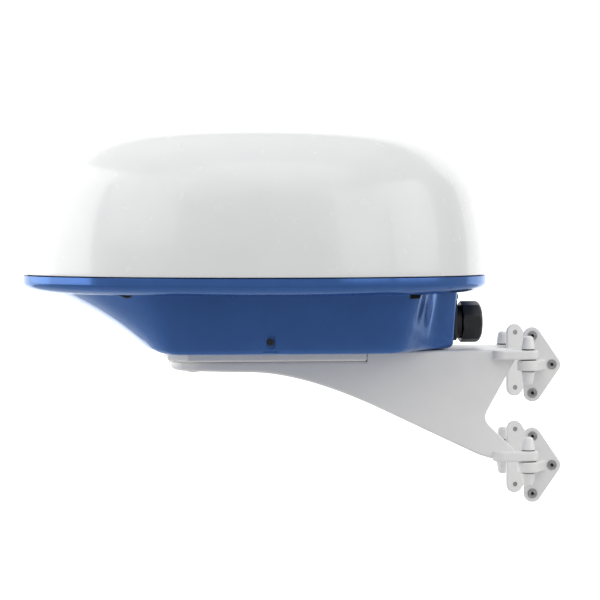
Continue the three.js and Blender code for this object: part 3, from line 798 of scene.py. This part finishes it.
def foot(side, height):
    basis = foot_basis(side, height)
    plate = prism("plate", wrapped(RIVETS, 9.5, 14), FACE, FACE + PLATE, 1.3, basis)
    root = FACE + PLATE - 2
    near = ALONG * -13 + OUT * root
    far = ALONG * 1 + OUT * root
    pin_y = -PIN.y
    arm = [
        (PIN.x - 11.4, pin_y + 2), (PIN.x - 7, pin_y - 9), (PIN.x, pin_y - 11.45),
        (PIN.x + 8.5, pin_y - 7.6),
        (far.x + 4, far.y), (far.x, far.y + 1.5), (near.x - 4, near.y + 1.5),
    ]
    mirror = Matrix.Translation((0, 0, height)) @ (Matrix.Scale(side * -1, 4, (0, 1, 0)))
    arm = prism("arm", rounded_corners(arm, 2.0), -6, KNUCKLE_TOP, 1.6, mirror)
    knuckle = prism("knuckle", circle(11.5, 64, PIN.x, pin_y), -6, KNUCKLE_TOP, 1.6, mirror)
    body = joined(plate, arm, knuckle)
    holes = [cylinder(PIN_R + 0.3, -20, 20, PIN.x, pin_y, mirror, 32)]
    for along, up in RIVETS:
        holes.append(cylinder(2.7, FACE - 5, FACE + 12, along, up, basis, 24))
        holes.append(cylinder(5.5, FACE + PLATE - 0.7, FACE + 12, along, up, basis, 32))
    return cut(body, *holes)


def rivet(place):
    profile = [
        (0, 0.3), (2.4, 0.3), (2.4, 4.7), (4.75, 4.7), (4.8, 5.6), (4.55, 6.2), (4.1, 6.35), (3.6, 6.15),
        (3.2, 6.1), (2.9, 6.4), (2.5, 6.8), (2.1, 6.85), (1.9, 6.7), (1.8, 6.2), (1.8, 2.0), (0, 1.8),
    ]
    return turned("rivet", profile, 40, place)


def rivet_bore_shade(place):
    """A black plug sunk in the rivet's bore, painted shade for the dark hole where the stem broke off."""
    return turned("core", [(0, 2.5), (1.7, 2.5), (1.7, 5.6), (1.2, 5.9), (0, 5.8)], 24, place)


def cap(x, y, z, up):
    place = Matrix.Translation((x, y, z)) @ Matrix.Scale(up, 4, (0, 0, 1))
    profile = [(0, 7.5), (4.3, 7.5), (4.3, 0.3), (4.6, 0), (7.1, 0), (7.4, 0.3), (7.4, 0.9), (7.2, 1.3)]
    profile.append((7.1, 2.6))
    profile += bezier((7.1, 2.6), (6.3, 7.0), (5.6, 11.0), steps=6)
    profile += bezier((5.6, 11.0), (5.1, 14.2), (0, 14.2), steps=10)
    return turned("cap", profile, 48, place)


def feet():
    for level in ("upper", "lower"):
        for name, side in (("port", -1), ("starboard", 1)):
            label = f"{level}_{name}"
            height = middle(f"foot_{label}").z
            stand_for(foot(side, height), f"foot_{label}", POWDER)
            for i, (along, up) in enumerate(RIVETS):
                place = foot_basis(side, height) @ Matrix.Translation((along, up, FACE))
                node = f"rivet_{label}_{i + 1}"
                stand_for(rivet(place), node, RIVET)
                # Each rivet's black bore plug is painted shade.
                core = show_beside(rivet_bore_shade(place), f"rivet_bore_shade_{label}_{i + 1}", node, RUBBER)
            pin = f"pin_{label}"
            x, y = middle(pin).xy
            low, high = low_of(pin).z, high_of(pin).z
            shaft = [(0, low), (PIN_R - 0.6, low), (PIN_R, low + 0.6)]
            shaft += [(PIN_R, high - 0.6), (PIN_R - 0.6, high), (0, high)]
            stand_for(turned("pin", shaft, 32, Matrix.Translation((x, y, 0))), pin, STEEL)
            top, bottom = f"cap_{label}_top", f"cap_{label}_bottom"
            over, under = low_of(top).z, high_of(bottom).z
            stand_for(cap(x, y, over + CAP_LIFT, 1), top, CAP)
            stand_for(cap(x, y, under - CAP_LIFT, -1), bottom, CAP)
            # The black washers paint the shadow lines in each hinge stack.
            shade_gap_washer(f"washer_{label}_top", top, x, y, over - 0.25, over + CAP_LIFT + 0.2, 6.8)
            shade_gap_washer(f"washer_{label}_bottom", bottom, x, y, under - CAP_LIFT - 0.2, under + 0.25, 6.8)
            knuckle = height + KNUCKLE_TOP
            shade_gap_washer(f"washer_{label}_hinge", f"foot_{label}", x, y, knuckle - 0.1, height + 6.25, 8.2)


# ---------------------------------------------------------------- scanner and electronics

# An outline in (y, z), raised along x.
ACROSS_X = Matrix(((0, 0, 1, 0), (1, 0, 0, 0), (0, 1, 0, 0), (0, 0, 0, 1)))
DECK_Z = high_of("chassis_plate").z - SEAM_Z
DECK = 3.0
MOTOR_AT = middle("motor_pinion") - Vector((RADOME_X, 0, 0))
GEAR_MODULE = 2.15
TOOTH = [(-0.27, -1.15), (-0.215, -0.7), (-0.18, -0.15), (-0.145, 0.4), (-0.11, 0.85)]
TOOTH = TOOTH + [(-turn, rise) for turn, rise in reversed(TOOTH)]


def local_box(node):
    """The lowest and highest corner of a node, seen from the middle of the radome seam."""
    shift = Vector((RADOME_X, 0, SEAM_Z))
    return low_of(node) - shift, high_of(node) - shift


def pan_head(x, y, z, radius, place=RADOME):
    """A pan head screw with a cross recess, standing on height z."""
    rise = radius * 0.62
    edge = (radius, z + rise * 0.35)
    profile = [(0, z - 1.5), (radius * 0.5, z - 1.5), (radius * 0.5, z), (radius, z), edge]
    profile += bezier(edge, (radius * 0.85, z + rise), (0, z + rise), steps=6)
    head = turned("screw", profile, 24, place @ Matrix.Translation((x, y, 0)))
    slots = []
    for wide, long in ((radius * 0.16, radius * 0.6), (radius * 0.6, radius * 0.16)):
        low = (x - wide, y - long, z + rise * 0.35)
        slots.append(block("slot", low, (x + wide, y + long, z + rise * 2), 0.1, place))
    slots = joined(*slots)
    return cut(head, slots)


def screws(name, places, z, radius, like="dome_bolt_1", place=RADOME):
    heads = joined(*[pan_head(x, y, z, radius, place) for x, y in places])
    show_beside(heads, name, like, STEEL)


def chassis_plate():
    low, high = local_box("chassis_plate")
    centre, half = (low + high) / 2, (high - low) / 2
    outline = [(x + centre.x, y) for x, y in rounded_box_outline(half.x, half.y, 9)]
    plate = prism("plate", outline, DECK_Z - DECK, DECK_Z, 0.5, RADOME)
    corners = [(x, y) for x in (-84, 148) for y in (-84, 84)]
    legs = [prism("leg", circle(5, 6, x, y), low.z, DECK_Z - 2, 0.4, RADOME) for x, y in corners]
    plate = joined(plate, *legs)
    holes = [cylinder(10, -40, 10, place=RADOME), cylinder(6, -40, 10, 0, MOTOR_AT.y, RADOME)]
    for x, half_x, y in ((95, 9, 0), (-104, 5, -40), (-104, 5, 40), (120, 14, -78)):
        slot = [(x + a, y + b) for a, b in rounded_box_outline(half_x, 13, 4.5)]
        holes.append(prism("way", slot, DECK_Z - 8, DECK_Z + 5, 0, RADOME))
    stand_for(cut(plate, *holes), "chassis_plate", ALUMINIUM)
    screws("chassis_screws", corners, DECK_Z, 4.2)
    seats = [(x, MOTOR_AT.y + y) for x in (-15.5, 15.5) for y in (-15.5, 15.5)]
    screws("motor_screws", seats[1::2], DECK_Z, 2.9)


def bearing_race(node):
    """A ball race with recessed shields between its two rings."""
    low, high = local_box(node)
    outer, inner = (high.x - low.x) / 2, 8.3
    rest, step = (inner + outer) / 2, 1.25
    profile = [(inner, low.z + 0.3), (inner + 0.3, low.z), (rest - step, low.z)]
    profile += [(rest - step + 0.2, low.z + 0.8), (rest + step - 0.2, low.z + 0.8)]
    profile += [(rest + step, low.z), (outer - 0.3, low.z), (outer, low.z + 0.3)]
    middle_z = (low.z + high.z) / 2
    profile += [(r, 2 * middle_z - z) for r, z in reversed(profile)]
    stand_for(turned("race", profile, 72, RADOME), node, STEEL)


def bearing_housing():
    low, high = local_box("bearing_housing")
    profile = [(14, high.z), (14, low.z), (34, low.z), (34, low.z + 3.6), (33.4, low.z + 4.2)]
    profile += [(28, low.z + 4.3)] + bezier((28, low.z + 4.3), (23, low.z + 5), (23, low.z + 10), steps=6)
    profile += [(22.6, high.z - 5), (24, high.z - 4), (24, high.z - 0.6), (23.4, high.z)]
    housing = turned("housing", profile, 96, RADOME)
    webs = []
    for i in range(6):
        turn = RADOME @ Matrix.Rotation(math.radians(60 * i + 30), 4, "Z")
        side = [(22, low.z + 2), (33, low.z + 3.5), (33, low.z + 5), (25, high.z - 8), (22, high.z - 7)]
        lie = Matrix(((1, 0, 0, 0), (0, 0, -1, 0), (0, 1, 0, 0), (0, 0, 0, 1)))
        webs.append(prism("web", side, -1.2, 1.2, 0.4, turn @ lie))
    stand_for(joined(housing, *webs), "bearing_housing", ALUMINIUM)
    round_flange = [(29 * math.cos(a), 29 * math.sin(a)) for a in (0, math.pi / 3 * 2, math.pi / 3 * 4)]
    screws("housing_screws", round_flange, low.z + 4.2, 2.9)


def rotor_shaft():
    low, high = local_box("rotor_shaft")
    profile = [(3.5, low.z), (7.4, low.z), (8, low.z + 0.6), (8, low.z + 5), (7.2, low.z + 5)]
    profile += [(7.2, low.z + 6.2), (8, low.z + 6.2), (8, high.z - 0.6), (7.4, high.z), (3.5, high.z)]
    stand_for(turned("shaft", profile, 64, RADOME), "rotor_shaft", STEEL)


def gear_outline(teeth, tooth_at, y=0.0):
    radius, step = teeth * GEAR_MODULE / 2, 2 * math.pi / teeth
    points = []
    for tooth in range(teeth):
        for turn, rise in TOOTH:
            angle, reach = tooth_at + (tooth + turn) * step, radius + rise * GEAR_MODULE
            points.append((reach * math.cos(angle), y + reach * math.sin(angle)))
    return points


def gears():
    low, high = local_box("main_gear")
    wheel = prism("wheel", gear_outline(40, math.pi / 2), low.z, high.z, 0, RADOME)
    holes = [cylinder(8.3, low.z - 5, high.z + 5, place=RADOME)]
    for rim_z, far_z in ((high.z - 1.6, high.z + 5), (low.z + 1.6, low.z - 5)):
        dish = [(14, far_z), (14, rim_z), (36.5, rim_z), (37.5, far_z)]
        holes.append(turned("dish", dish, 80, RADOME))
    for i in range(6):
        x, y = 25.5 * math.cos(math.pi / 3 * i), 25.5 * math.sin(math.pi / 3 * i)
        holes.append(cylinder(6.5, low.z - 5, high.z + 5, x, y, RADOME))
    stand_for(cut(wheel, *holes), "main_gear", GEAR, 20)
    low, high = local_box("motor_pinion")
    teeth = gear_outline(10, math.pi / 10 - math.pi / 2, MOTOR_AT.y)
    pinion = prism("pinion", teeth, high.z - 8, high.z, 0, RADOME)
    shaft = cylinder(2.5, low.z, high.z - 4, 0, MOTOR_AT.y, RADOME)
    profile = [(0, high.z - 12), (5.4, high.z - 12), (6, high.z - 11.4), (6, high.z - 7), (0, high.z - 7)]
    hub = turned("hub", profile, 40, RADOME @ Matrix.Translation((0, MOTOR_AT.y, 0)))
    stand_for(joined(pinion, shaft, hub), "motor_pinion", GEAR, 20)


def drive_motor():
    low, high = local_box("drive_motor")
    place = RADOME @ Matrix.Translation((0, MOTOR_AT.y, 0))
    parts = [prism("core", rounded_box_outline(20.2, 20.2, 7), low.z + 4, high.z - 4, 0, place)]
    for foot, head in ((low.z, low.z + 10), (high.z - 9, high.z)):
        parts.append(prism("end", rounded_box_outline(21, 21, 4.5), foot, head, 0.8, place))
    parts.append(block("lead_exit", (-7, 19, low.z + 2), (7, 20.9, low.z + 7.5), 0.5, place))
    stand_for(joined(*parts), "drive_motor", MOTOR)


def array_holder():
    low, high = local_box("array_holder")
    deck, side = low.z + 10.4, 20.0
    shelf = [(-side, deck), (side, deck), (side, high.z)]
    shelf += [(side - 3, high.z), (side - 3, deck + 3), (-side, deck + 3)]
    sheet = prism("sheet", rounded_corners(shelf, 1.2), low.x, high.x, 0.5, RADOME @ ACROSS_X)
    profile = [(0, low.z), (15, low.z), (16, low.z + 1), (16, deck - 2), (18, deck + 0.5), (0, deck + 0.5)]
    hub = turned("hub", profile, 64, RADOME)
    holes = [cylinder(8.3, low.z - 4, deck - 0.4, place=RADOME)]
    for x in (-60, -30, 30, 60):
        holes.append(cylinder(7, deck - 5, deck + 9, x, -5, RADOME))
    upright = RADOME @ Matrix.Translation((0, 0, deck + 24)) @ Matrix.Rotation(math.radians(90), 4, "X")
    for x in (-60, -30, 0, 30, 60):
        holes.append(cylinder(7, -side - 5, -side + 6, x, 0, upright))
    stand_for(cut(joined(sheet, hub), *holes), "array_holder", ALUMINIUM)


def array_reflector():
    """The horn: a folded trough open to port, its lips hemmed."""
    low, high = local_box("array_reflector")
    mid, back = (low.z + high.z) / 2, high.y
    half = [(low.y, 27), (-4.6, 15), (back - 2, 15), (back - 2, 0)]
    shell = [(low.y, 28.9), (-4, 17), (back, 17), (back, 0)]
    upper = [(y, mid + z) for y, z in half[:3]] + [(y, mid + z) for y, z in reversed(shell[:3])]
    lower = [(y, 2 * mid - z) for y, z in reversed(upper)]
    ring_round = upper[3:] + upper[:3] + lower[3:] + lower[:3]
    outline = rounded_corners(ring_round, 0.6)
    horn = prism("horn", outline, low.x, high.x, 0.35, RADOME @ ACROSS_X)
    hems = []
    for side in (-1, 1):
        lip = RADOME @ ACROSS_X @ Matrix.Translation((low.y + 1.1, mid + side * 27.5, 0))
        hems.append(cylinder(1.1, low.x + 1, high.x - 1, place=lip, steps=20))
    stand_for(joined(horn, *hems), "array_reflector", ALUMINIUM)


def slotted_guide():
    low, high = local_box("slotted_guide")
    section = [(low.y, low.z), (high.y, low.z), (high.y, high.z), (low.y, high.z)]
    guide = prism("guide", rounded_corners(section, 0.8), low.x, high.x, 0.5, RADOME @ ACROSS_X)
    middle_z = (low.z + high.z) / 2
    holes = []
    for i in range(11):
        x, lean = (i - 5) * 34, math.radians(11 if i % 2 else -11)
        turn = RADOME @ Matrix.Translation((x, 0, middle_z)) @ Matrix.Rotation(lean, 4, "Y")
        holes.append(block("slot", (-1, low.y - 2, -4), (1, low.y + 1.4, 4), 0.5, turn))
    stand_for(cut(guide, *holes), "slotted_guide", TIN)


def transceiver_case():
    low, high = local_box("transceiver_case")
    place = RADOME @ Matrix.Translation(((low.x + high.x) / 2, 0, 0))
    half_x, half_y = (high.x - low.x) / 2, (high.y - low.y) / 2
    lid = low.z + 6
    parts = [prism("case", rounded_box_outline(half_x - 2, half_y, 3), lid - 1, high.z, 1, place)]
    parts.append(prism("lid", rounded_box_outline(half_x, half_y, 3), low.z, lid - 0.4, 0.8, place))
    for i in range(9):
        y = (i - 4) * 17
        parts.append(block("rib", (-half_x, y - 1.1, lid + 2), (half_x, y + 1.1, high.z - 1.5), 0.4, place))
    stand_for(joined(*parts), "transceiver_case", TIN)


def magnetron():
    low, high = local_box("magnetron")
    place = RADOME @ Matrix.Translation(((low.x + high.x) / 2, (low.y + high.y) / 2, 0))
    profile = [(0, low.z), (15.4, low.z)]
    for i in range(4):
        foot = low.z + 0.6 + 1.9 * i
        profile += [(17, foot), (17, foot + 1), (15.4, foot + 1.2), (15.4, foot + 1.7)]
    profile += [(17, low.z + 8.4), (17, low.z + 11), (9, low.z + 11.5), (9, low.z + 20), (7.4, low.z + 22)]
    profile += [(7.4, high.z - 3)] + bezier((7.4, high.z - 3), (7.4, high.z), (0, high.z), steps=6)
    tube = turned("tube", profile, 64, place)
    plate = prism("plate", rounded_box_outline(20, 22, 4), low.z + 6, low.z + 9, 0.5, place)
    holes = [cylinder(2, low.z, low.z + 12, x, y, place) for x in (-16, 16) for y in (-18, 18)]
    stand_for(joined(tube, cut(plate, *holes)), "magnetron", COPPER)


def modulator_board():
    low, high = local_box("modulator_board")
    top = low.z + 14.6
    mid = (low.x + high.x) / 2
    outline = [(mid + x, y) for x, y in rounded_box_outline((high.x - low.x) / 2, high.y, 2)]
    board = prism("board", outline, top - 1.6, top, 0.2, RADOME)
    board = joined(board, prism("post", circle(4.6, 6, mid, -3), low.z, top - 1, 0.3, RADOME))
    holes = [cylinder(1.8, top - 6, top + 5, mid + x, y, RADOME) for x in (-50, 50) for y in (-65, 65)]
    stand_for(cut(board, *holes), "modulator_board", BOARD)
    board_parts(low.x, top - 0.3)


# Corner, width and depth of each chip, from the board's bow edge and centre line.
CHIPS = [(14, 22, 9, 9), (34, 44, 14, 7), (18, 56, 8, 5), (60, -8, 12, 8), (84, -10, 7, 7)]


def board_parts(edge, top):
    """Transformer, heat sink, capacitors, chips, a connector and small parts on the board."""
    core = [block("yoke", (edge + 12, -56, top), (edge + 38, -49, top + 15), 0.5, RADOME)]
    core.append(block("yoke", (edge + 12, -25, top), (edge + 38, -18, top + 15), 0.5, RADOME))
    core.append(block("leg", (edge + 20, -52, top + 3), (edge + 30, -22, top + 12), 0.5, RADOME))
    show_beside(joined(*core), "transformer_core", "drive_motor", MOTOR)
    around = [(edge + 25 + x, z) for x, z in rounded_box_outline(10, 7, 3)]
    lie = Matrix(((1, 0, 0, 0), (0, 0, -1, 0), (0, 1, 0, top + 7.6), (0, 0, 0, 1)))
    show_beside(prism("coil", around, 27, 47, 1.5, RADOME @ lie), "transformer_coil", "magnetron", COPPER)
    sink = [block("base", (edge + 56, 10, top), (edge + 90, 52, top + 2.5), 0.4, RADOME)]
    for i in range(8):
        x = edge + 57 + i * 4.4
        sink.append(block("fin", (x, 10, top + 1), (x + 1.4, 52, top + 10), 0.4, RADOME))
    show_beside(joined(*sink), "board_heat_sink", "bearing_housing", ALUMINIUM)
    for i, x in enumerate((edge + 72, edge + 94)):
        can = [(0, top), (7.6, top), (8, top + 0.5), (8, top + 1.6), (7.5, top + 2.4), (8, top + 3.2)]
        can += [(8, top + 20.6), (7.2, top + 21.4), (6.6, top + 21.2), (6.4, top + 20.8), (0, top + 20.8)]
        place = RADOME @ Matrix.Translation((x, -40, 0))
        show_beside(turned("can", can, 40, place), f"capacitor_{i + 1}", "drive_motor", MOTOR)
    chips = []
    for x, y, wide, deep in CHIPS:
        chips.append(block("chip", (edge + x, y, top), (edge + x + wide, y + deep, top + 2), 0.3, RADOME))
    header = [block("header", (edge + 98, 20, top), (edge + 107, 50, top + 8), 0.4, RADOME)]
    show_beside(joined(*chips, *header), "board_chips", "drive_motor", MOTOR)
    random.seed(4)
    small = []
    for i in range(24):
        x, y = edge + 6 + 4 * (i % 12), 6 + 5 * (i // 12) + random.uniform(-1, 1)
        small.append(block("part", (x, y, top), (x + 1.8, y + 1.1, top + 1), 0.15, RADOME))
    show_beside(joined(*small), "board_small_parts", "transceiver_case", TIN)


def inside():
    chassis_plate()
    bearing_housing()
    bearing_race("upper_bearing")
    bearing_race("lower_bearing")
    rotor_shaft()
    gears()
    drive_motor()
    array_holder()
    array_reflector()
    slotted_guide()
    transceiver_case()
    magnetron()
    modulator_board()


# ---------------------------------------------------------------- stage, light and camera

FLOOR_Z = -1.0
FLOOR_FRONT = -6.0
WALL_Y = 3.4
WALL_TOP = 4.0
WALL_GLOW = 1.05
COVE = 0.15
STAGE_HALF = 5.5
WORLD_GLOW = 0.52
LENS = 118.6
LENS_SHIFT = -0.095
EYE_FROM_SEAM = (-0.2247, -2.1382, 0.034)
EYE_YAW = -7.3


def stage_sheet(name, profile, material):
    """A sheet across the stage following a side profile of (y, z) pairs."""
    verts = [(x, y, z) for y, z in profile for x in (-STAGE_HALF, STAGE_HALF)]
    faces = [(2 * i, 2 * i + 1, 2 * i + 3, 2 * i + 2) for i in range(len(profile) - 1)]
    mesh = bpy.data.meshes.new(name)
    mesh.from_pydata(verts, [], faces)
    mesh.shade_smooth()
    mesh.materials.append(material)
    sheet = bpy.data.objects.new(name, mesh)
    bpy.context.scene.collection.objects.link(sheet)


def stage():
    """A pale floor under the object and an evenly lit white wall behind it."""
    paper = shader("studio_paper", (0.6, 0.6, 0.6), 0.9, grain=(80, 0.01), mottle=0.005)
    foot = WALL_Y - COVE
    cove = bezier((foot, FLOOR_Z), (WALL_Y, FLOOR_Z), (WALL_Y, FLOOR_Z + COVE), steps=8)
    stage_sheet("studio_floor", [(FLOOR_FRONT, FLOOR_Z), (foot, FLOOR_Z)] + cove, paper)
    glow = bpy.data.materials.new("lit_wall")
    glow.use_nodes = True
    surface = glow.node_tree.nodes["Principled BSDF"]
    surface.inputs["Emission Color"].default_value = (1, 1, 1, 1)
    surface.inputs["Emission Strength"].default_value = WALL_GLOW
    stage_sheet("lit_wall", [(WALL_Y, FLOOR_Z + COVE), (WALL_Y, WALL_TOP)], glow)


def softbox(name, size, energy, at, aim, spread=180):
    data = bpy.data.lights.new(name, "AREA")
    data.shape = "RECTANGLE"
    data.size, data.size_y = size
    data.energy = energy
    data.spread = math.radians(spread)
    lamp = bpy.data.objects.new(name, data)
    bpy.context.scene.collection.objects.link(lamp)
    lamp.location = at
    lamp.rotation_euler = (Vector(aim) - Vector(at)).to_track_quat("-Z", "Y").to_euler()
    lamp.visible_camera = False
    return lamp


def lights():
    centre = (RADOME_X * MM, 0, SEAM_Z * MM)
    softbox("left_panel", (3.4, 1.9), 25, (-2.4, 1.6, 0.9), (RADOME_X * MM, 1.6, 0.4), 130)
    softbox("left_front", (1.6, 1.6), 3.5, (-2.2, -1.0, 1.2), centre, 110)
    softbox("overhead", (4.0, 4.0), 8, (-0.3, 0.0, 3.2), centre, 110)
    softbox("top_front", (5.0, 2.5), 17, (-0.3, -2.2, 2.8), centre, 120)
    softbox("right_side", (1.4, 1.6), 4.2, (2.2, -0.6, 0.9), centre, 120)
    softbox("right_front", (1.4, 1.6), 2.5, (1.8, -2.0, 0.9), centre, 100)
    world = bpy.data.worlds.new("studio")
    world.use_nodes = True
    world.node_tree.nodes["Background"].inputs["Color"].default_value = (1, 1, 1, 1)
    world.node_tree.nodes["Background"].inputs["Strength"].default_value = WORLD_GLOW
    bpy.context.scene.world = world
    bpy.context.scene.view_settings.view_transform = "Standard"


def camera():
    data = bpy.data.cameras.new("camera")
    data.sensor_width = 36
    data.lens = LENS
    data.shift_y = LENS_SHIFT
    eye = bpy.data.objects.new("camera", data)
    bpy.context.scene.collection.objects.link(eye)
    eye.location = Vector((RADOME_X, 0, SEAM_Z)) * MM + Vector(EYE_FROM_SEAM)
    eye.rotation_euler = (math.radians(90), 0, math.radians(EYE_YAW))
    bpy.context.scene.camera = eye


# ---------------------------------------------------------------- build

camera()
lights()
stage()
dome_cover()
base_housing()
base_fittings()
gland()
bracket_frame()
platform_plate()
mount_bolts()
feet()
inside()
